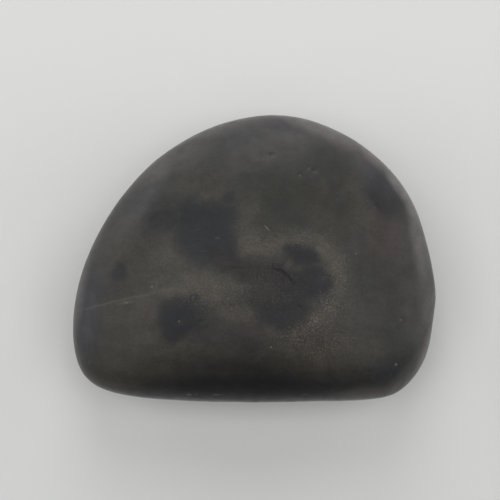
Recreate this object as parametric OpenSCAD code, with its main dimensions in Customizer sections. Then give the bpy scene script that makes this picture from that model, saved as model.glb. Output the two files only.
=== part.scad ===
// Basalt massage stone: one water-worn stone, D-shaped in plan, with a pillowed section.
// It lies flat. +X runs along its straight side, +Y points from that side to the crown of the
// arch, and +Z is up. The origin is the middle of its box, on the surface that it lies on.

/* [Overall size] */
// Length along the straight side
stone_length = 80; // [56:1:104]
// Width from the straight side to the crown of the arch
stone_width = 63.7; // [44:0.1:82]
// Thickness from the resting flat to the top
stone_thickness = 29; // [20:0.5:38]

/* [Section] */
// Height of the girth, where the stone is widest, above the resting flat
girth_height = 14; // [8:0.5:18]
// Fullness of the upper half: 2 is an ellipse, and more is a flatter top with rounder edges
top_fullness = 2.4; // [2:0.05:3.2]
// Fullness of the lower half
under_fullness = 2.5; // [2:0.05:3.2]
// Depth that wear has taken off the belly, which leaves the flat that the stone rests on
rest_wear = 0.6; // [0.3:0.1:1.5]
// Distance from the middle back to the highest point, towards the straight side
crown_setback = 3; // [0:0.5:8]
// How soon the corners of the D fade into a round dome away from the girth: more is sooner
corner_fade = 1.2; // [0.4:0.1:2.4]

/* [Worn flats] */
// Depth of the flat along the upper edge of the straight side
front_flat_depth = 0.5; // [0.1:0.1:1.2]
// Depth of the flat on the corner at the right end of the straight side
corner_flat_depth = 0.4; // [0.1:0.1:1.2]
// Depth of the flat on the left flank of the arch
flank_flat_depth = 0.3; // [0.1:0.1:1.2]
// Softness of the edges round the worn flats
flat_softness = 0.6; // [0.2:0.1:1.5]

/* [Surface] */
// Points on the rim between one handle and the next
steps_per_handle = 5; // [3:1:6]
// Rings from the belly to the top
rings = 36; // [24:2:40]

/* [Hidden] */

BASALT = [0.25, 0.25, 0.24];

// The rim passes through these points, given in hundredths of half the length and half the
// width. They run anticlockwise from the right end of the stone.
RIM_HANDLES = [
    [99.3, -23.8], [94.9, 9.9], [84.7, 44.8], [64, 75.2], [34, 95.8], [3, 100], [-27.9, 89.5],
    [-53.8, 68.8], [-73.6, 41.8], [-89.7, 6], [-98.7, -35.9], [-96.4, -73.3], [-80.3, -92.4],
    [-48.4, -98.8], [-8, -100.3], [30, -99.9], [62.9, -98.4], [82.4, -90.4], [93.9, -68.4],
    [97.5, -45.2]
];
PULL_ROUNDS = 14;

// Each worn flat is [bearing from +X, tilt from vertical, depth], in degrees and millimetres.
WORN_FLATS = [
    [-90, 36, front_flat_depth],
    [-42, 62, corner_flat_depth],
    [146, 50, flank_flat_depth]
];

crown_height = stone_thickness - girth_height;
belly_depth = girth_height + rest_wear;

function neighbour(points, i) = points[(i + len(points)) % len(points)];

// Where a closed cubic B-spline passes nearest to each of its control points.
function passed(control) = [
    for (i = [0:len(control) - 1])
        (neighbour(control, i - 1) + 4 * control[i] + neighbour(control, i + 1)) / 6
];

// Control points moved out until the curve passes through the handles.
function pulled(control, handles, rounds) =
    rounds == 0 ? control : pulled(control + handles - passed(control), handles, rounds - 1);

function spline_point(control, i, t) = (
    pow(1 - t, 3) * neighbour(control, i - 1)
    + (3 * pow(t, 3) - 6 * pow(t, 2) + 4) * control[i]
    + (3 * t + 3 * pow(t, 2) - 3 * pow(t, 3) + 1) * neighbour(control, i + 1)
    + pow(t, 3) * neighbour(control, i + 2)
) / 6;

function closed_curve(handles, steps) =
    let (control = pulled(handles, handles, PULL_ROUNDS))
    [for (i = [0:len(control) - 1], k = [0:steps - 1]) spline_point(control, i, k / steps)];

// A plan curve centred on the origin and stretched to a length and a width.
function fitted(curve, length, width) =
    let (xs = [for (p = curve) p.x], ys = [for (p = curve) p.y])
    [for (p = curve) [
        (p.x - (max(xs) + min(xs)) / 2) * length / (max(xs) - min(xs)),
        (p.y - (max(ys) + min(ys)) / 2) * width / (max(ys) - min(ys))
    ]];

rim = fitted(closed_curve(RIM_HANDLES, steps_per_handle), stone_length, stone_width);
crown = [0, -crown_setback];

// How far an ellipse of the stone's length and width reaches in the direction of v.
function round_reach(v) =
    norm(v) / norm([v.x / (stone_length / 2), v.y / (stone_width / 2)]);

// The rim drawn in to a share of its size round a middle, and made rounder as it shrinks.
function drawn_in(middle, share) =
    let (sharpness = pow(share, corner_fade))
    [for (p = rim)
        let (v = p - middle, reach = norm(v) * sharpness + round_reach(v) * (1 - sharpness))
        middle + v / norm(v) * reach * share];

// One ring of the stone at an angle of latitude: 0 is the girth, 90 the top, -90 the belly.
function ring_at(latitude) =
    let (
        upper = latitude > 0,
        fullness = upper ? top_fullness : under_fullness,
        rise = (upper ? crown_height : -belly_depth) * pow(abs(sin(latitude)), 2 / fullness)
    )
    [for (p = drawn_in(upper ? crown : [0, 0], pow(cos(latitude), 2 / fullness)))
        [p.x, p.y, girth_height + rise]];

// All points of the unworn stone: the belly's pole, the rings upwards, then the top's pole.
round_points = concat(
    [[0, 0, girth_height - belly_depth]],
    [for (j = [1:rings - 1]) each ring_at(-90 + 180 * j / rings)],
    [[crown.x, crown.y, girth_height + crown_height]]
);

function facing(flat) = [
    sin(flat[1]) * cos(flat[0]),
    sin(flat[1]) * sin(flat[0]),
    cos(flat[1])
];

// Every point beyond a flat's plane is pressed back to it, softly near the flat's edges.
function worn(points, flat) =
    let (
        normal = facing(flat),
        plane = max([for (p = points) p * normal]) - flat[2]
    )
    [for (p = points)
        p - normal * flat_softness * ln(1 + exp((p * normal - plane) / flat_softness))];

function worn_by_all(points, flats, i = 0) =
    i == len(flats) ? points : worn_by_all(worn(points, flats[i]), flats, i + 1);

// Triangles between the poles and the rings, seen clockwise from outside.
function stone_faces(around, count) =
    let (top = 1 + (count - 1) * around, last_ring = top - around)
    concat(
        [for (i = [0:around - 1]) [0, 1 + i, 1 + (i + 1) % around]],
        [for (j = [0:count - 3], i = [0:around - 1])
            let (a = 1 + j * around + i, b = 1 + j * around + (i + 1) % around)
            each [[a, a + around, b], [b, a + around, b + around]]],
        [for (i = [0:around - 1]) [top, last_ring + (i + 1) % around, last_ring + i]]
    );

module round_stone() {
    polyhedron(worn_by_all(round_points, WORN_FLATS), stone_faces(len(rim), rings));
}

module below_rest() {
    translate([-stone_length, -stone_width, -2 * rest_wear])
        cube([2 * stone_length, 2 * stone_width, 2 * rest_wear]);
}

module stone() {
    color(BASALT)
        difference() {
            round_stone();
            below_rest();
        }
}

stone();
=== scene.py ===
import math
from collections import namedtuple

import bpy
import numpy as np
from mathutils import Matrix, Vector


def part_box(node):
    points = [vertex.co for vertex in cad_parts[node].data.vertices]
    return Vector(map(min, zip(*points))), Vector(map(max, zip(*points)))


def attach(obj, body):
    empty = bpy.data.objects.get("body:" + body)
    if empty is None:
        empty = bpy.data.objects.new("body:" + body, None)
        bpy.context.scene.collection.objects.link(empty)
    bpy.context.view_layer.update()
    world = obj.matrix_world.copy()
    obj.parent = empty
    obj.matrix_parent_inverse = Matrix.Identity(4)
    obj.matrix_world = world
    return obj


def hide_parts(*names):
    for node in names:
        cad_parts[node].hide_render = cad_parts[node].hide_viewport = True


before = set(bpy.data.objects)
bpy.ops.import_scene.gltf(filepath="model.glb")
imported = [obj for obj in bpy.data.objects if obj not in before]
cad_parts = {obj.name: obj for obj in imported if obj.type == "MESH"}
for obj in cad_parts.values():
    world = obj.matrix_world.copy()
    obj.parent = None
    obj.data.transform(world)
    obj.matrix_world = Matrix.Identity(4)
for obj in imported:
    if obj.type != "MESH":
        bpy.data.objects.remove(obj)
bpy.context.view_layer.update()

bl_info = {
    "name": "Basalt Massage Stone",
    "version": (1, 0, 0),
    "blender": (4, 5, 0),
    "location": "3D View > Sidebar > Stone",
    "description": "Models a water-worn basalt massage stone and sets it in a small studio",
    "category": "Object",
}

MM = 0.001
LOW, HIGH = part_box("stone")
MIDDLE = (LOW + HIGH) / 2
HALF = (HIGH - LOW) / 2
# Every mark is placed as it is seen from this fixed point, above and a little in front. It is
# about where the camera stands, but doesn't move with it, so the marks stay where they are.
EYE = Vector((-1, -19, 314)) * MM
# Middle of the marks' grid, at the stone's mid-height.
SEEN_MIDDLE = MIDDLE + Vector((-0.3, -0.3, 0)) * MM

# A mark's place on the upper face is given as across and up: hundredths of the stone's half
# length and half width, from the seen middle. Widths, heights and radii are in millimetres,
# turns in degrees. A softness of 0 is a hard edge, and a depth of 1 is the full colour.
Patch = namedtuple("Patch", "across up wide tall turn softness depth")
Speck = namedtuple("Speck", "across up radius depth")

# Blue-black stains. Those that touch make one stain with an uneven outline.
STAINS = (
    Patch(-28, 18, 6.0, 6.4, 20, 0.3, 1.0),
    Patch(-34, 30, 3.4, 3.0, -20, 0.45, 0.95),
    Patch(-19, 29, 3.2, 3.4, 0, 0.45, 0.95),
    Patch(-18, 12, 3.2, 4.0, 10, 0.4, 0.95),
    Patch(-19, 3, 3.8, 2.4, -10, 0.35, 0.95),
    Patch(-14, 43, 1.8, 1.2, 45, 0.5, 0.7),
    Patch(-38, 40, 3.2, 1.0, 20, 0.8, 0.4),
    Patch(44, 70, 5.0, 2.6, -20, 0.9, 0.4),
    Patch(-10, 79, 2.8, 1.6, 10, 0.9, 0.4),
    Patch(-48, 28, 3.8, 2.8, -10, 0.8, 0.8),
    Patch(-41, -40, 4.6, 4.0, 0, 0.3, 1.0),
    Patch(-33, -28, 1.4, 1.0, 40, 0.5, 0.8),
    Patch(-45, -51, 2.4, 2.2, 20, 0.5, 0.8),
    Patch(-30, -45, 4.0, 2.8, 0, 0.9, 0.6),
    Patch(33, -16, 4.3, 3.4, 0, 0.2, 1.0),
    Patch(38, -26, 1.8, 1.6, 0, 0.7, 0.7),
    Patch(23, 6, 2.4, 1.5, -30, 0.45, 1.0),
    Patch(28, 1, 3.2, 2.0, -10, 0.6, 0.9),
    Patch(30, 1, 2.6, 2.0, -10, 0.45, 1.0),
    Patch(14, -36, 4.6, 3.2, 0, 0.35, 0.95),
    Patch(22, -34, 3.6, 3.6, 0, 0.4, 0.95),
    Patch(17, -44, 3.4, 1.8, 0, 0.6, 0.8),
    Patch(-74, -9, 1.8, 2.1, 0, 0.4, 0.75),
    Patch(-31, -37, 3.6, 2.6, 0, 0.9, 0.65),
    Patch(62, -14, 3.0, 4.2, 10, 0.9, 0.55),
    Patch(74, -18, 2.4, 2.4, 0, 0.9, 0.4),
    Patch(88, -8, 1.6, 1.8, 0, 0.8, 0.6),
    Patch(75, 43, 4.2, 4.8, 20, 0.5, 1.0),
    Patch(70, 58, 2.4, 3.4, 35, 0.7, 0.95),
    Patch(-4, -54, 3.6, 2.6, 0, 0.9, 0.6),
    Patch(75, -76, 4.6, 2.6, 10, 0.9, 0.75),
)

# Plum-tinted stains, fainter, which join the blue-black ones.
PLUM_STAINS = (
    Patch(-20, 3, 3.4, 2.0, -20, 0.8, 0.5),
    Patch(-11, -4, 4.2, 2.0, -20, 0.5, 0.85),
    Patch(-1, -9, 4.2, 2.8, 0, 0.5, 0.9),
    Patch(7, -14, 4.6, 2.6, 0, 0.5, 0.95),
    Patch(15, -12, 4.6, 4.0, 0, 0.4, 1.0),
    Patch(2, -2, 2.6, 1.8, 0, 0.7, 0.8),
    Patch(-12, -27, 2.6, 2.0, 0, 0.9, 0.4),
    Patch(5, -26, 4.2, 3.4, 0, 0.6, 0.85),
    Patch(17, -25, 5.0, 3.2, 0, 0.5, 0.95),
)

# The darkest places: the hearts of the stains, and painted shade on the front slope and along the
# foot of the straight side, which stands in for the dark reflection and shade there.
STAIN_HEARTS_AND_PAINTED_SHADE = (
    Patch(-41, -41, 4.0, 3.6, 0, 0.8, 0.6),
    Patch(33, -16, 4.0, 3.2, 0, 0.6, 0.7),
    Patch(27, 3, 3.2, 1.8, -16, 0.6, 0.7),
    Patch(74, 46, 3.4, 5.0, 25, 0.7, 0.9),
    # Painted shade: these four darken the front slope and the foot of the straight side.
    Patch(45, -82, 10.0, 1.6, -2, 0.9, 0.2),
    Patch(-58, -94, 8.0, 1.8, 3, 0.8, 0.8),
    Patch(-4, -93, 22.0, 4.8, 0, 0.5, 0.85),
    Patch(-4, -80, 12.0, 3.0, 0, 0.8, 0.5),
)

# Dry, pale, olive halos round and between the stains.
HALOS = (
    Patch(-4, 22, 1.6, 3.0, 10, 0.8, 0.5),
    Patch(0, 11, 2.6, 3.2, 0, 0.8, 0.9),
    Patch(5, 5, 3.4, 2.0, -10, 0.8, 1.0),
    Patch(15, 12, 4.4, 1.4, 5, 0.8, 0.85),
    Patch(30, 15, 4.4, 1.2, -12, 0.8, 0.75),
    Patch(40, 5, 2.8, 2.0, -45, 0.8, 1.0),
    Patch(46, -7, 2.0, 4.0, 10, 0.8, 0.95),
    Patch(47, -20, 2.0, 3.0, -15, 0.8, 0.85),
    Patch(43, -32, 2.4, 2.4, -35, 0.8, 0.9),
    Patch(36, -43, 3.6, 1.9, 30, 0.8, 1.0),
    Patch(28, -50, 3.8, 1.7, 15, 0.8, 0.9),
    Patch(9, -52, 4.6, 1.4, -5, 0.9, 0.6),
    Patch(-4, -39, 2.6, 2.2, -35, 0.8, 0.8),
    Patch(-14, -34, 3.2, 2.0, -30, 0.8, 0.9),
    Patch(-19, -22, 4.4, 3.0, 0, 0.8, 1.0),
    Patch(-8, -23, 3.0, 2.6, 0, 0.8, 0.7),
    Patch(-30, -16, 5.4, 2.4, -8, 0.8, 1.0),
    Patch(-42, -20, 4.4, 2.0, 5, 0.8, 1.0),
    Patch(-52, -17, 2.0, 2.4, 0, 0.9, 0.8),
    Patch(-48, -2, 4.4, 4.8, 15, 0.9, 0.6),
    Patch(-70, -36, 6.0, 4.4, 0, 0.9, 0.35),
    Patch(-20, 46, 5.0, 1.2, 5, 0.9, 0.2),
    Patch(-37, 50, 4.0, 1.6, 10, 0.9, 0.25),
    Patch(40, -66, 10.0, 3.8, 0, 0.9, 0.8),
    Patch(-37, -60, 4.0, 3.0, 0, 0.9, 0.55),
    Patch(-72, 4, 5.0, 7.0, -16, 0.9, 0.28),
    Patch(-74, -54, 6.0, 3.0, 0, 0.9, 0.2),
    Patch(-36, -76, 7.0, 1.6, 0, 0.9, 0.2),
    Patch(58, 50, 3.0, 4.0, 0, 0.9, 0.2),
    Patch(-62, -30, 3.6, 2.4, 0, 0.9, 0.45),
    Patch(54, -24, 3.6, 6.0, 0, 0.9, 0.4),
    Patch(-66, -74, 9.0, 2.8, 0, 0.9, 0.45),
    Patch(-56, -59, 6.0, 2.6, 0, 0.9, 0.6),
    Patch(-2, 36, 2.0, 2.6, 0, 0.9, 0.5),
    Patch(62, 32, 3.0, 3.6, 0, 0.9, 0.4),
)

# Where pale dust has caught in the grain.
DUSTY_PLACES = (
    Patch(43, -33, 3.0, 3.0, 0, 0.8, 0.8),
    Patch(36, -44, 4.6, 2.4, 30, 0.8, 0.85),
    Patch(26, -52, 5.0, 2.2, 12, 0.8, 0.8),
    Patch(40, -60, 6.0, 3.0, 10, 0.9, 0.6),
    Patch(47, -12, 2.6, 5.0, 5, 0.8, 0.5),
    Patch(28, 14, 7.0, 2.0, -5, 0.8, 0.4),
    Patch(4, 8, 4.0, 3.0, 0, 0.8, 0.3),
    Patch(10, -20, 7.0, 5.0, 0, 0.9, 0.25),
    Patch(-20, -25, 8.0, 4.0, -10, 0.9, 0.4),
)

# Red-brown clouds.
BROWN_TINTS = (
    Patch(20, -3, 1.4, 0.8, 60, 0.7, 0.8),
    Patch(25, -7, 1.4, 0.7, -10, 0.8, 0.6),
    Patch(15, -1, 1.2, 0.6, 10, 0.8, 0.5),
    Patch(3, -1, 1.6, 0.8, 0, 0.9, 0.3),
    Patch(-16, -1, 2.4, 1.2, -15, 0.8, 0.25),
    Patch(3, -21, 2.4, 2.0, 0, 0.9, 0.2),
    Patch(75, 18, 5.0, 5.6, 0, 0.9, 0.8),
    Patch(10, 76, 6.4, 2.6, 0, 0.9, 0.3),
    Patch(-34, 64, 2.4, 3.0, 0, 0.9, 0.4),
    Patch(56, 80, 4.4, 2.6, -35, 0.9, 0.7),
    Patch(-57, -38, 1.4, 2.8, 0, 0.9, 0.6),
    Patch(45, -48, 8.0, 5.0, 20, 0.9, 0.4),
    Patch(-4, -52, 4.6, 3.4, 0, 0.9, 0.45),
    Patch(-16, -54, 5.0, 3.0, 0, 0.9, 0.4),
)

# Blue-grey clouds, mostly towards the rim.
BLUE_TINTS = (
    Patch(74, 47, 4.8, 6.0, 25, 0.7, 1.0),
    Patch(-61, 40, 4.8, 4.4, 0, 0.8, 0.6),
    Patch(-58, 27, 3.2, 3.2, 0, 0.9, 0.6),
    Patch(-76, 26, 3.0, 4.2, -25, 0.9, 0.35),
    Patch(-88, -20, 2.6, 3.0, 0, 0.7, 0.8),
    Patch(-92, -42, 3.0, 7.6, 0, 0.8, 1.0),
    Patch(15, 94, 5.2, 1.4, -5, 0.7, 0.7),
    Patch(-6, 86, 5.4, 2.4, 5, 0.8, 0.5),
)

# Pale grey places on the rim and shoulders: painted highlights, which stand in for the brighter
# rim where the surface turns away and reflects the pale floor and room.
PAINTED_RIM_HIGHLIGHTS = (
    Patch(92, 12, 1.6, 7.4, 10, 0.7, 0.75),
    Patch(89, 34, 1.4, 5.0, 20, 0.7, 0.9),
    Patch(82, 50, 1.5, 6.0, 34, 0.6, 0.9),
    Patch(97, -32, 1.2, 4.0, -4, 0.8, 0.5),
    Patch(95, -66, 1.6, 4.0, -16, 0.8, 0.8),
    Patch(38, 91, 8.0, 1.8, -24, 0.8, 0.8),
    Patch(30, 86, 4.0, 1.6, -10, 0.9, 0.15),
    Patch(67, 71, 4.0, 1.4, -48, 0.7, 0.6),
    Patch(-4, 97, 7.0, 1.2, 3, 0.8, 0.3),
    Patch(-22, 90, 7.0, 1.8, 14, 0.8, 0.4),
    Patch(-33, 77, 5.0, 2.4, 30, 0.9, 0.25),
    Patch(-51, 65, 5.0, 2.0, 42, 0.8, 0.35),
    Patch(-62, 42, 2.0, 5.0, -34, 0.9, 0.1),
    Patch(-96, -30, 1.0, 7.0, -10, 0.8, 0.4),
    Patch(60, -93, 5.0, 1.2, 3, 0.8, 0.3),
)

# Broad olive places, a little darker than the plain stone.
OLIVE_TINTS = (
    Patch(16, 52, 8.0, 8.0, 0, 0.9, 0.9),
    Patch(44, 68, 7.0, 4.4, -20, 0.9, 0.9),
    Patch(-12, 77, 3.8, 2.4, 10, 0.9, 0.9),
    Patch(8, 78, 6.6, 3.4, 0, 0.9, 1.0),
    Patch(-30, 60, 5.0, 4.0, 30, 0.9, 0.6),
    Patch(62, -14, 3.0, 4.0, 0, 0.9, 0.2),
    Patch(46, 40, 5.0, 6.0, 0, 0.9, 0.4),
)

# The pale vein, its bright nick, the chips on the front rim, and fine scratches.
VEIN = (
    Patch(-75, -29, 9.2, 0.24, 12, 0.9, 0.14),
    Patch(-71, -30, 2.4, 0.26, 8, 0.8, 0.12),
    Patch(-70, -30, 0.5, 0.16, -10, 0.6, 0.4),
    Patch(-35, -94, 0.5, 0.22, -5, 0.8, 0.35),
    Patch(-31, -94, 0.3, 0.2, 0, 0.8, 0.4),
    Patch(-20, -94, 0.9, 0.20, 5, 0.8, 0.3),
    Patch(8, 22, 0.8, 0.10, -50, 0.5, 0.5),
    Patch(-20, 15, 0.5, 0.16, -5, 0.8, 0.13),
    Patch(-27, 6, 0.8, 0.12, 0, 0.8, 0.07),
    Patch(-32, 20, 0.9, 0.12, 15, 0.8, 0.05),
    Patch(-45, 2, 0.7, 0.14, -5, 0.8, 0.14),
)

# Dark hairline cracks in and beside the middle stain.
CRACKS = (
    Patch(11, -6, 0.9, 0.24, 80, 0.8, 1.0),
    Patch(14, -8, 1.0, 0.22, -30, 0.8, 0.9),
    Patch(17, -10, 1.2, 0.30, -45, 0.8, 1.0),
    Patch(21, -15, 1.5, 0.30, -52, 0.8, 1.0),
    Patch(16, -15, 0.9, 0.24, 60, 0.8, 0.8),
    Patch(-13, -1, 1.6, 0.18, -8, 0.9, 0.4),
    Patch(-17, 3, 1.4, 0.18, -12, 0.9, 0.35),
    Patch(-10, -6, 1.6, 0.18, -4, 0.9, 0.35),
    Patch(26, -34, 1.0, 0.18, -45, 0.8, 0.3),
)

# Pinholes that have filled with pale mineral.
SPECKS = (
    Speck(-41, -43, 0.24, 0.4),
    Speck(-38, -9, 0.20, 0.4),
    Speck(-43, -18, 0.22, 0.4),
    Speck(-56, -19, 0.22, 0.5),
    Speck(10, -61, 0.22, 0.7),
    Speck(82, -42, 0.22, 0.8),
    Speck(79, -73, 0.26, 0.8),
    Speck(26, 59, 0.20, 0.25),
    Speck(31, 64, 0.18, 0.4),
    Speck(3, 35, 0.18, 0.5),
    Speck(43, 21, 0.20, 0.5),
    Speck(47, 42, 0.18, 0.4),
    Speck(57, 4, 0.18, 0.4),
)

Lamp = namedtuple("Lamp", "name bearing height power")
# Each lamp stands at a bearing, counted from the stone's right end towards its round back, and at
# a height above the floor. Both are in degrees; the power is in watts. The lamps are the same on
# the left and on the right, and those of one group are equally strong.
TOP_LIGHT, HIGH_LIGHT, BACK_LIGHT, LOW_LIGHT, FRONT_LIGHT = 0.4, 1.0, 1.3, 1.2, 0.5
LAMPS = (
    Lamp("overhead", 0, 90, TOP_LIGHT),
    Lamp("right_high", 0, 65, HIGH_LIGHT),
    Lamp("left_high", 180, 65, HIGH_LIGHT),
    Lamp("back", 90, 40, BACK_LIGHT),
    Lamp("front_left", 225, 40, FRONT_LIGHT),
    Lamp("front_right", 315, 40, FRONT_LIGHT),
    Lamp("right_low", 0, 15, LOW_LIGHT),
    Lamp("back_right_low", 45, 15, LOW_LIGHT),
    Lamp("back_low", 90, 15, LOW_LIGHT),
    Lamp("back_left_low", 135, 15, LOW_LIGHT),
    Lamp("left_low", 180, 15, LOW_LIGHT),
)


class StoneForm(bpy.types.PropertyGroup):
    """Sizes of the stone's surface."""

    face_size: bpy.props.FloatProperty(
        name="Face size",
        description="Side of the small faces that the surface is made of",
        default=0.41 * MM,
        min=0.3 * MM,
        max=2 * MM,
        precision=5,
        unit="LENGTH",
    )
    polish: bpy.props.IntProperty(
        name="Polish",
        description="Rounds of smoothing, which take the facets off the form",
        default=30,
        min=0,
        max=100,
    )
    swell_span: bpy.props.FloatProperty(
        name="Swell span",
        description="Distance from one soft swell of the surface to the next",
        default=14 * MM,
        min=4 * MM,
        max=40 * MM,
        precision=4,
        unit="LENGTH",
    )
    swell_height: bpy.props.FloatProperty(
        name="Swell height",
        description="Height of the soft swells",
        default=0.3 * MM,
        min=0,
        max=2 * MM,
        precision=5,
        unit="LENGTH",
    )
    ripple_span: bpy.props.FloatProperty(
        name="Ripple span",
        description="Distance from one small unevenness of the surface to the next",
        default=2.6 * MM,
        min=1 * MM,
        max=8 * MM,
        precision=5,
        unit="LENGTH",
    )
    ripple_height: bpy.props.FloatProperty(
        name="Ripple height",
        description="Height of the small unevenness",
        default=0.05 * MM,
        min=0,
        max=0.5 * MM,
        precision=5,
        unit="LENGTH",
    )
    pit_count: bpy.props.IntProperty(
        name="Pits",
        description="Number of small pits scattered over the stone",
        default=90,
        min=0,
        max=400,
    )
    pit_radius: bpy.props.FloatProperty(
        name="Pit radius",
        description="Radius of the largest scattered pit",
        default=0.8 * MM,
        min=0.4 * MM,
        max=2 * MM,
        precision=5,
        unit="LENGTH",
    )
    pit_depth: bpy.props.FloatProperty(
        name="Pit depth",
        description="Depth of the largest scattered pit",
        default=0.16 * MM,
        min=0,
        max=0.6 * MM,
        precision=5,
        unit="LENGTH",
    )
    seed: bpy.props.IntProperty(
        name="Seed",
        description="Picks another scatter of pits",
        default=7,
        min=0,
    )


class StoneFinish(bpy.types.PropertyGroup):
    """Colours and sheen of the basalt."""

    body: bpy.props.FloatVectorProperty(
        name="Body",
        description="Colour of the plain stone",
        default=(0.038, 0.035, 0.030),
        min=0,
        max=1,
        subtype="COLOR",
    )
    cool_body: bpy.props.FloatVectorProperty(
        name="Cool body",
        description="Colour that the plain stone drifts towards",
        default=(0.030, 0.0305, 0.027),
        min=0,
        max=1,
        subtype="COLOR",
    )
    stain: bpy.props.FloatVectorProperty(
        name="Stain",
        description="Colour of the blue-black stains",
        default=(0.015, 0.016, 0.019),
        min=0,
        max=1,
        subtype="COLOR",
    )
    plum_stain: bpy.props.FloatVectorProperty(
        name="Plum stain",
        description="Colour of the plum-tinted stains",
        default=(0.0115, 0.0095, 0.0105),
        min=0,
        max=1,
        subtype="COLOR",
    )
    # Also the colour of the painted shade along the front slope and the foot of the straight
    # side.
    darkest: bpy.props.FloatVectorProperty(
        name="Darkest",
        description="Colour of the hearts of the stains and of the foot of the straight side",
        default=(0.007, 0.007, 0.009),
        min=0,
        max=1,
        subtype="COLOR",
    )
    olive: bpy.props.FloatVectorProperty(
        name="Olive",
        description="Colour of the broad olive places",
        default=(0.021, 0.0215, 0.0175),
        min=0,
        max=1,
        subtype="COLOR",
    )
    halo: bpy.props.FloatVectorProperty(
        name="Halo",
        description="Colour of the pale halos round the stains",
        default=(0.066, 0.058, 0.046),
        min=0,
        max=1,
        subtype="COLOR",
    )
    brown: bpy.props.FloatVectorProperty(
        name="Brown",
        description="Colour of the red-brown clouds",
        default=(0.047, 0.037, 0.035),
        min=0,
        max=1,
        subtype="COLOR",
    )
    blue: bpy.props.FloatVectorProperty(
        name="Blue",
        description="Colour of the blue-grey clouds",
        default=(0.019, 0.0185, 0.027),
        min=0,
        max=1,
        subtype="COLOR",
    )
    # Colour of the painted highlights on the rim and shoulders.
    grey: bpy.props.FloatVectorProperty(
        name="Grey",
        description="Colour of the dry grey places on the shoulders",
        default=(0.115, 0.104, 0.101),
        min=0,
        max=1,
        subtype="COLOR",
    )
    dusty: bpy.props.FloatVectorProperty(
        name="Dusty",
        description="Colour of the dust that is caught in the grain",
        default=(0.125, 0.112, 0.082),
        min=0,
        max=1,
        subtype="COLOR",
    )
    vein: bpy.props.FloatVectorProperty(
        name="Vein",
        description="Colour of the vein, the chips and the filled pinholes",
        default=(0.22, 0.21, 0.17),
        min=0,
        max=1,
        subtype="COLOR",
    )
    roughness: bpy.props.FloatProperty(
        name="Roughness",
        description="Roughness of the worn surface",
        default=0.45,
        min=0,
        max=1,
        subtype="FACTOR",
    )
    dust: bpy.props.FloatProperty(
        name="Dust",
        description="Amount of fine dust, which shows at the rim",
        default=0.2,
        min=0,
        max=1,
        subtype="FACTOR",
    )
    grain_span: bpy.props.FloatProperty(
        name="Grain span",
        description="Size of the stone's grains",
        default=0.5 * MM,
        min=0.1 * MM,
        max=2 * MM,
        precision=5,
        unit="LENGTH",
    )


class StudioSettings(bpy.types.PropertyGroup):
    """Camera, floor and light."""

    camera_distance: bpy.props.FloatProperty(
        name="Camera distance",
        description="Distance from the camera to the middle of the view",
        default=0.30,
        min=0.1,
        max=2,
        unit="LENGTH",
    )
    camera_lean: bpy.props.FloatProperty(
        name="Camera lean",
        description="Angle by which the camera leans from upright, towards the straight side",
        default=math.radians(4),
        min=math.radians(1),
        max=math.radians(80),
        subtype="ANGLE",
    )
    view_width: bpy.props.FloatProperty(
        name="View width",
        description="Width of the view where the stone is widest",
        default=110.8 * MM,
        min=40 * MM,
        max=1,
        precision=4,
        unit="LENGTH",
    )
    aim: bpy.props.FloatVectorProperty(
        name="Aim",
        description="Middle of the view, measured from the middle of the stone",
        default=(-0.97 * MM, 1.76 * MM, 0),
        precision=5,
        subtype="TRANSLATION",
        unit="LENGTH",
    )
    floor_size: bpy.props.FloatProperty(
        name="Floor size",
        description="Side of the floor",
        default=8,
        min=0.5,
        max=40,
        unit="LENGTH",
    )
    floor_colour: bpy.props.FloatVectorProperty(
        name="Floor colour",
        description="Colour of the pale floor",
        default=(0.78, 0.78, 0.77),
        min=0,
        max=1,
        subtype="COLOR",
    )
    air: bpy.props.FloatProperty(
        name="Air",
        description="Strength of the even light from all round",
        default=0.01,
        min=0,
        max=5,
    )
    lamp_distance: bpy.props.FloatProperty(
        name="Lamp distance",
        description="Distance from each lamp to the middle of the stone",
        default=0.75,
        min=0.2,
        max=5,
        unit="LENGTH",
    )
    lamp_size: bpy.props.FloatProperty(
        name="Lamp size",
        description="Side of each square lamp",
        default=0.42,
        min=0.05,
        max=4,
        unit="LENGTH",
    )
    lamp_share: bpy.props.FloatProperty(
        name="Lamps",
        description="Strength of all the lamps, where 1 is as set",
        default=1,
        min=0,
        max=10,
        subtype="FACTOR",
    )


def select_only(piece):
    bpy.ops.object.select_all(action="DESELECT")
    piece.select_set(True)
    bpy.context.view_layer.objects.active = piece


def apply_modifier(piece, kind, **settings):
    """Adds a modifier to a piece, with its settings, and applies it."""
    select_only(piece)
    modifier = piece.modifiers.new(kind, kind)
    for name, value in settings.items():
        setattr(modifier, name, value)
    bpy.ops.object.modifier_apply(modifier=modifier.name)


def merged_copy(node):
    """A closed copy of a CAD node, to wrap the visible stone on."""
    select_only(node)
    bpy.ops.object.duplicate()
    copy = bpy.context.object
    copy.name = "wrap_form"
    bpy.ops.object.mode_set(mode="EDIT")
    bpy.ops.mesh.select_all(action="SELECT")
    bpy.ops.mesh.remove_doubles(threshold=0.001 * MM)
    bpy.ops.object.mode_set(mode="OBJECT")
    return copy


def round_blank():
    """A ball of square faces, stretched until the whole stone fits inside it."""
    cuts = 63
    spare = 1.3
    bpy.ops.object.select_all(action="DESELECT")
    bpy.ops.mesh.primitive_cube_add(size=2, location=MIDDLE, scale=HALF * spare)
    blank = bpy.context.object
    blank.name = "basalt_stone"
    bpy.ops.object.mode_set(mode="EDIT")
    bpy.ops.mesh.subdivide(number_cuts=cuts)
    bpy.ops.object.mode_set(mode="OBJECT")
    apply_modifier(blank, "CAST", cast_type="SPHERE", factor=1, use_radius_as_size=False, size=1)
    bpy.ops.object.transform_apply(location=True, rotation=True, scale=True)
    return blank


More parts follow.
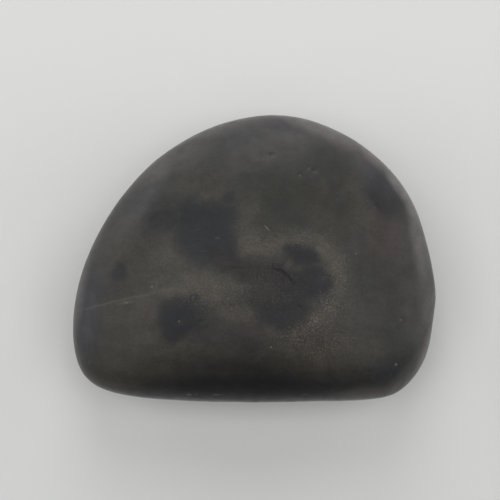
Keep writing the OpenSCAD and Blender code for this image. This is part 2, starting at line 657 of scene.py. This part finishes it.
def points_of(piece):
    """Every point of a piece's mesh, one row each."""
    flat = np.empty(len(piece.data.vertices) * 3)
    piece.data.vertices.foreach_get("co", flat)
    return flat.reshape(-1, 3)


def weigh(piece, name, weights):
    """Makes a vertex group with one weight for each point."""
    group = piece.vertex_groups.new(name=name)
    for index in np.flatnonzero(weights > 0):
        group.add([int(index)], float(weights[index]), "REPLACE")


def press(piece, name, weights, depth):
    """Presses the surface in by a depth, as far as each point's weight says."""
    weigh(piece, name, weights)
    apply_modifier(piece, "DISPLACE", strength=-depth, mid_level=0, vertex_group=name)
    bpy.ops.object.vertex_group_remove(all=True)


def swell(piece, name, weights, span, height):
    """Raises and lowers the surface in soft random clouds."""
    clouds = bpy.data.textures.new(name, "CLOUDS")
    clouds.noise_scale = span
    clouds.noise_depth = 1
    weigh(piece, name, weights)
    apply_modifier(
        piece,
        "DISPLACE",
        texture=clouds,
        texture_coords="LOCAL",
        strength=height,
        mid_level=0.5,
        vertex_group=name,
    )
    bpy.ops.object.vertex_group_remove(all=True)
    bpy.data.textures.remove(clouds)


def on_top(across, up):
    """The point of the upper face that is seen at a place given in hundredths."""
    place = SEEN_MIDDLE + Vector((HALF.x * across / 100, HALF.y * up / 100, 0))
    hit, point, normal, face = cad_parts["stone"].ray_cast(EYE, (place - EYE).normalized())
    if not hit:
        raise RuntimeError(f"the place {across}, {up} lies beside the stone")
    return point


def hollow(points, centre, radius):
    """Weights of a round hollow: 1 at its middle and 0 from its edge on."""
    distance = np.linalg.norm(points - np.array(centre), axis=1)
    return np.clip(1 - (distance / radius) ** 2, 0, 1) ** 2


def groove(points, centre, patch):
    """Weights of a long hollow that lies as a patch does, but wide enough to reach a face."""
    turn = math.radians(patch.turn)
    away = points - np.array(centre)
    along = away[:, 0] * math.cos(turn) + away[:, 1] * math.sin(turn)
    beside = away[:, 1] * math.cos(turn) - away[:, 0] * math.sin(turn)
    narrowest = 0.5
    half_width = max(patch.tall, narrowest) * MM
    distance = np.sqrt((along / (patch.wide * MM)) ** 2 + (beside / half_width) ** 2)
    near_top = np.abs(away[:, 2]) < HALF.z / 2
    return np.clip(1 - distance**2, 0, 1) ** 2 * near_top


def fit_to_box(piece):
    """Stretches a piece by a hair, so that it fills the CAD node's box exactly."""
    points = points_of(piece)
    low, high = Vector(points.min(0)), Vector(points.max(0))
    size, wanted = high - low, HIGH - LOW
    piece.scale = [wanted[axis] / size[axis] for axis in range(3)]
    piece.location = [LOW[axis] - low[axis] * piece.scale[axis] for axis in range(3)]
    select_only(piece)
    bpy.ops.object.transform_apply(location=True, rotation=True, scale=True)


def worn_form(form):
    """The stone's smooth form, with even faces and without the CAD node's facets."""
    target = merged_copy(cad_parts["stone"])
    stone = round_blank()
    apply_modifier(stone, "SHRINKWRAP", target=target, wrap_method="NEAREST_SURFACEPOINT")
    apply_modifier(stone, "REMESH", mode="VOXEL", voxel_size=form.face_size)
    apply_modifier(stone, "SMOOTH", factor=0.5, iterations=form.polish)
    bpy.data.objects.remove(target)
    return stone


def wear_surface(stone, form):
    """Swells, ripples, pits, the vein's groove, the cracks and the chips."""
    free_from, free_at = 1.0 * MM, 5.0 * MM
    smallest_pit = 0.45
    pinhole_radius, pinhole_share = 0.7 * MM, 0.8
    line_depth = 0.10 * MM
    points = points_of(stone)
    free = np.clip((points[:, 2] - LOW.z - free_from) / (free_at - free_from), 0, 1)
    swell(stone, "swells", free, form.swell_span, form.swell_height)
    swell(stone, "ripples", free, form.ripple_span, form.ripple_height)

    points = points_of(stone)
    draw = np.random.default_rng(form.seed)
    pits = np.zeros(len(points))
    for index in draw.choice(len(points), form.pit_count, replace=False):
        share = draw.uniform(smallest_pit, 1)
        weights = hollow(points, points[index], form.pit_radius * share) * share
        pits = np.maximum(pits, weights)
    for speck in SPECKS:
        weights = hollow(points, on_top(speck.across, speck.up), pinhole_radius)
        pits = np.maximum(pits, weights * pinhole_share)
    press(stone, "pits", pits * free, form.pit_depth)

    lines = np.zeros(len(points))
    for mark in VEIN + CRACKS:
        weights = groove(points, on_top(mark.across, mark.up), mark)
        lines = np.maximum(lines, weights * mark.depth)
    press(stone, "lines", lines, line_depth)


class Graph:
    """Adds nodes to a tree and joins them, so that a finish reads as a list of steps."""

    def __init__(self, tree):
        self.tree = tree

    def add(self, kind, inputs, **settings):
        made = self.tree.nodes.new(kind)
        for name, value in settings.items():
            setattr(made, name, value)
        for socket, value in inputs.items():
            self.feed(made.inputs[socket], value)
        return made

    def feed(self, socket, value):
        if isinstance(value, bpy.types.NodeSocket):
            self.tree.links.new(value, socket)
        else:
            socket.default_value = value

    def math(self, operation, first, second=0.0):
        return self.add("ShaderNodeMath", {0: first, 1: second}, operation=operation).outputs[0]

    def vector(self, operation, first, second=(0, 0, 0)):
        made = self.add("ShaderNodeVectorMath", {0: first, 1: second}, operation=operation)
        return made.outputs["Value" if operation == "LENGTH" else "Vector"]

    def noise(self, place, span, detail=2.0, colour=False):
        made = self.add(
            "ShaderNodeTexNoise", {"Vector": place, "Scale": 1 / span, "Detail": detail}
        )
        return made.outputs["Color" if colour else "Fac"]

    def ramp(self, value, start, end, low=0.0, high=1.0):
        """Goes smoothly from low to high as value goes from start to end."""
        return self.add(
            "ShaderNodeMapRange",
            {
                "Value": value,
                "From Min": start,
                "From Max": end,
                "To Min": low,
                "To Max": high,
            },
            interpolation_type="SMOOTHSTEP",
        ).outputs["Result"]

    def mix(self, share, first, second, blend="MIX"):
        """Mixes two colours. The node's sockets for colours are 6 and 7, and 2 on its way out."""
        made = self.add(
            "ShaderNodeMix",
            {0: share, 6: opaque(first), 7: opaque(second)},
            data_type="RGBA",
            blend_type=blend,
        )
        return made.outputs[2]


def opaque(colour):
    """A colour of three numbers as one of four; a socket stays as it is."""
    return colour if isinstance(colour, bpy.types.NodeSocket) else (*colour, 1)


def patch_tree():
    """Node group that is 1 inside a soft-edged ellipsoid and 0 outside it."""
    tree = bpy.data.node_groups.new("Patch", "ShaderNodeTree")
    for name, kind in (
        ("Place", "NodeSocketVector"),
        ("Centre", "NodeSocketVector"),
        ("Size", "NodeSocketVector"),
        ("Turn", "NodeSocketFloat"),
        ("Softness", "NodeSocketFloat"),
        ("Depth", "NodeSocketFloat"),
    ):
        tree.interface.new_socket(name, in_out="INPUT", socket_type=kind)
    tree.interface.new_socket("Share", in_out="OUTPUT", socket_type="NodeSocketFloat")
    graph = Graph(tree)
    given = graph.add("NodeGroupInput", {}).outputs
    away = graph.vector("SUBTRACT", given["Place"], given["Centre"])
    turned = graph.add(
        "ShaderNodeVectorRotate",
        {"Vector": away, "Angle": graph.math("MULTIPLY", given["Turn"], -1.0)},
        rotation_type="Z_AXIS",
    ).outputs["Vector"]
    distance = graph.vector("LENGTH", graph.vector("DIVIDE", turned, given["Size"]))
    outer = graph.math("ADD", 1.0, given["Softness"])
    inner = graph.math("SUBTRACT", 1.0, given["Softness"])
    share = graph.ramp(distance, outer, inner)
    graph.add("NodeGroupOutput", {"Share": graph.math("MULTIPLY", share, given["Depth"])})
    return tree


def patches(graph, tree, place, rows):
    """The strongest share of any patch in the rows."""
    total = 0.0
    for row in rows:
        thick = max(row.wide, row.tall)
        share = graph.add(
            "ShaderNodeGroup",
            {
                "Place": place,
                "Centre": on_top(row.across, row.up),
                "Size": (row.wide * MM, row.tall * MM, thick * MM),
                "Turn": math.radians(row.turn),
                "Softness": row.softness,
                "Depth": row.depth,
            },
            node_tree=tree,
        )
        total = graph.math("MAXIMUM", total, share.outputs["Share"])
    return total


def basalt(finish):
    """The basalt: drifting body colour, stains, halos, clouds, dust, cracks, vein and grain, with
    painted shade along the front foot and painted highlights on the rim.
    """
    under_fade = 5 * MM
    blotch_span, drift_span, mottle_span = 18 * MM, 9 * MM, 2.6 * MM
    streak_span, sheen_span = 0.8 * MM, 2.2 * MM
    elsewhere = (0.2, 0.1, 0.3)
    crack_relief = 4.0
    material = bpy.data.materials.new("worn_basalt")
    material.use_nodes = True
    tree = material.node_tree
    tree.nodes.clear()
    graph = Graph(tree)
    soft_patch = patch_tree()
    place = graph.add("ShaderNodeTexCoord", {}).outputs["Object"]

    def strayed(span, reach, start):
        """Places moved about at random, so that outlines wander."""
        push = graph.vector("SUBTRACT", graph.noise(start, span, 2, colour=True), (0.5, 0.5, 0.5))
        scaled = graph.vector("MULTIPLY", push, (reach, reach, reach))
        return graph.vector("ADD", start, scaled)

    ragged = strayed(1.2 * MM, 1.6 * MM, strayed(5 * MM, 1.0 * MM, place))
    wavy = strayed(3 * MM, 0.8 * MM, place)

    def share_of(rows, start):
        return patches(graph, soft_patch, start, rows)

    height = graph.add("ShaderNodeSeparateXYZ", {"Vector": place}).outputs["Z"]
    under = graph.ramp(height, MIDDLE.z, MIDDLE.z - under_fade)
    blotch = graph.noise(place, blotch_span, 3)
    stain = graph.math(
        "MAXIMUM",
        share_of(STAINS, ragged),
        graph.math("MULTIPLY", under, graph.ramp(blotch, 0.56, 0.64)),
    )
    halo = graph.math(
        "MAXIMUM",
        share_of(HALOS, ragged),
        graph.math("MULTIPLY", under, graph.ramp(blotch, 0.48, 0.57, 0, 0.7)),
    )
    brown = share_of(BROWN_TINTS, wavy)
    blue = share_of(BLUE_TINTS, wavy)

    speckle = graph.noise(place, finish.grain_span, 3)
    grains = graph.noise(graph.vector("ADD", place, elsewhere), 0.6 * finish.grain_span, 1)
    drift = graph.ramp(graph.noise(place, drift_span, 3), 0.4, 0.6)
    colour = graph.mix(drift, finish.body, finish.cool_body)
    colour = graph.mix(share_of(OLIVE_TINTS, wavy), colour, finish.olive)
    colour = graph.mix(blue, colour, finish.blue)
    speckled_halo = graph.math("MULTIPLY", halo, graph.ramp(speckle, 0.35, 0.65, 0.8, 1.15))
    colour = graph.mix(speckled_halo, colour, finish.halo)
    colour = graph.mix(stain, colour, finish.stain)
    streaks = graph.noise(graph.vector("MULTIPLY", place, (0.4, 1, 1)), streak_span, 2)
    torn = graph.ramp(streaks, 0.35, 0.65, 0.8, 1)
    plum = graph.math("MULTIPLY", share_of(PLUM_STAINS, ragged), torn)
    colour = graph.mix(plum, colour, finish.plum_stain)
    colour = graph.mix(brown, colour, finish.brown)
    # Stain hearts, and painted shade along the front slope and the foot of the straight side.
    colour = graph.mix(share_of(STAIN_HEARTS_AND_PAINTED_SHADE, wavy), colour, finish.darkest)
    # Painted highlights along the rim and shoulders, in pale grey.
    colour = graph.mix(share_of(PAINTED_RIM_HIGHLIGHTS, wavy), colour, finish.grey)
    dusty = share_of(DUSTY_PLACES, wavy)
    pale_grains = graph.math("MULTIPLY", dusty, graph.ramp(grains, 0.56, 0.66))
    colour = graph.mix(pale_grains, colour, finish.dusty)
    dark_grains = graph.math("MULTIPLY", dusty, graph.ramp(grains, 0.42, 0.34, 0, 0.7))
    colour = graph.mix(dark_grains, colour, finish.stain)
    mottle = graph.math(
        "MULTIPLY",
        graph.ramp(speckle, 0.25, 0.75, 0.9, 1.1),
        graph.math(
            "MULTIPLY",
            graph.ramp(streaks, 0.3, 0.7, 0.95, 1.05),
            graph.ramp(graph.noise(place, mottle_span, 4), 0.3, 0.7, 0.9, 1.1),
        ),
    )
    shade = graph.add(
        "ShaderNodeCombineColor", {"Red": mottle, "Green": mottle, "Blue": mottle}
    ).outputs["Color"]
    colour = graph.mix(1.0, colour, shade, "MULTIPLY")
    cracks = share_of(CRACKS, wavy)
    colour = graph.mix(cracks, colour, finish.darkest)
    colour = graph.mix(share_of(VEIN, wavy), colour, finish.vein)
    pinholes = [
        Patch(speck.across, speck.up, speck.radius, speck.radius, 0, 0.6, speck.depth)
        for speck in SPECKS
    ]
    colour = graph.mix(share_of(pinholes, place), colour, finish.vein)

    sheen = graph.ramp(graph.noise(place, sheen_span, 3), 0.3, 0.7, -0.05, 0.05)
    roughness = graph.math("ADD", finish.roughness, sheen)
    relief = graph.math("SUBTRACT", speckle, graph.math("MULTIPLY", cracks, crack_relief))
    bump = graph.add(
        "ShaderNodeBump",
        {"Strength": 0.5, "Distance": 0.05 * MM, "Height": relief},
    ).outputs["Normal"]
    shader = graph.add(
        "ShaderNodeBsdfPrincipled",
        {
            "Base Color": colour,
            "Roughness": roughness,
            "Specular IOR Level": 0.35,
            "Sheen Weight": finish.dust,
            "Sheen Roughness": 0.3,
            "Normal": bump,
        },
    )
    graph.add("ShaderNodeOutputMaterial", {"Surface": shader.outputs["BSDF"]})
    return material


def floor_finish(settings):
    material = bpy.data.materials.new("pale_floor")
    material.use_nodes = True
    shader = material.node_tree.nodes["Principled BSDF"]
    shader.inputs["Base Color"].default_value = (*settings.floor_colour, 1)
    shader.inputs["Roughness"].default_value = 0.7
    return material


def add_camera(settings):
    lean = settings.camera_lean
    back = Vector((0, -math.sin(lean), math.cos(lean)))
    target = MIDDLE + Vector(settings.aim)
    bpy.ops.object.camera_add(location=target + back * settings.camera_distance)
    camera = bpy.context.object
    camera.rotation_euler = (-back).to_track_quat("-Z", "Y").to_euler()
    camera.data.angle = 2 * math.atan(settings.view_width / 2 / settings.camera_distance)
    camera.data.clip_start = 0.01
    bpy.context.scene.camera = camera


def add_floor(settings):
    bpy.ops.object.select_all(action="DESELECT")
    bpy.ops.mesh.primitive_plane_add(size=settings.floor_size, location=(0, 0, LOW.z))
    floor = bpy.context.object
    floor.name = "floor"
    floor.data.materials.append(floor_finish(settings))


def add_lamp(lamp, settings):
    bearing, height = math.radians(lamp.bearing), math.radians(lamp.height)
    away = Vector(
        (
            math.cos(bearing) * math.cos(height),
            math.sin(bearing) * math.cos(height),
            math.sin(height),
        )
    )
    bpy.ops.object.light_add(type="AREA", location=MIDDLE + away * settings.lamp_distance)
    light = bpy.context.object
    light.name = "lamp_" + lamp.name
    light.rotation_euler = away.to_track_quat("Z", "Y").to_euler()
    light.data.size = settings.lamp_size
    light.data.energy = lamp.power * settings.lamp_share
    light.visible_camera = False


def add_air(settings):
    world = bpy.data.worlds.new("studio_air")
    world.use_nodes = True
    world.node_tree.nodes["Background"].inputs["Strength"].default_value = settings.air
    world.node_tree.nodes["Background"].inputs["Color"].default_value = (1, 1, 1, 1)
    bpy.context.scene.world = world


class STONE_OT_add_studio(bpy.types.Operator):
    """Add the camera, the pale floor and the soft light"""

    bl_idname = "stone.add_studio"
    bl_label = "Add Studio"

    def execute(self, context):
        settings = context.scene.stone_studio
        add_camera(settings)
        add_floor(settings)
        add_air(settings)
        for lamp in LAMPS:
            add_lamp(lamp, settings)
        context.scene.view_settings.view_transform = "Standard"
        return {"FINISHED"}


class STONE_OT_add_stone(bpy.types.Operator):
    """Model the worn basalt stone over its CAD node and give it its finish"""

    bl_idname = "stone.add_stone"
    bl_label = "Add Stone"

    def execute(self, context):
        form = context.scene.stone_form
        stone = worn_form(form)
        wear_surface(stone, form)
        fit_to_box(stone)
        bpy.ops.object.shade_smooth()
        stone.data.materials.clear()
        stone.data.materials.append(basalt(context.scene.stone_finish))
        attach(stone, "root")
        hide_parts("stone")
        return {"FINISHED"}


class STONE_PT_panel(bpy.types.Panel):
    """Sizes, colours and light of the massage stone"""

    bl_label = "Massage Stone"
    bl_idname = "STONE_PT_panel"
    bl_space_type = "VIEW_3D"
    bl_region_type = "UI"
    bl_category = "Stone"

    def draw(self, context):
        scene = context.scene
        for group, button in (
            (scene.stone_form, "stone.add_stone"),
            (scene.stone_finish, None),
            (scene.stone_studio, "stone.add_studio"),
        ):
            box = self.layout.box()
            for name in group.__annotations__:
                box.prop(group, name)
            if button:
                box.operator(button)


CLASSES = (
    StoneForm,
    StoneFinish,
    StudioSettings,
    STONE_OT_add_studio,
    STONE_OT_add_stone,
    STONE_PT_panel,
)


def register():
    for cls in CLASSES:
        bpy.utils.register_class(cls)
    bpy.types.Scene.stone_form = bpy.props.PointerProperty(type=StoneForm)
    bpy.types.Scene.stone_finish = bpy.props.PointerProperty(type=StoneFinish)
    bpy.types.Scene.stone_studio = bpy.props.PointerProperty(type=StudioSettings)


def unregister():
    del bpy.types.Scene.stone_studio
    del bpy.types.Scene.stone_finish
    del bpy.types.Scene.stone_form
    for cls in reversed(CLASSES):
        bpy.utils.unregister_class(cls)


def main():
    register()
    bpy.ops.stone.add_studio()
    bpy.ops.stone.add_stone()


if __name__ == "__main__":
    main()
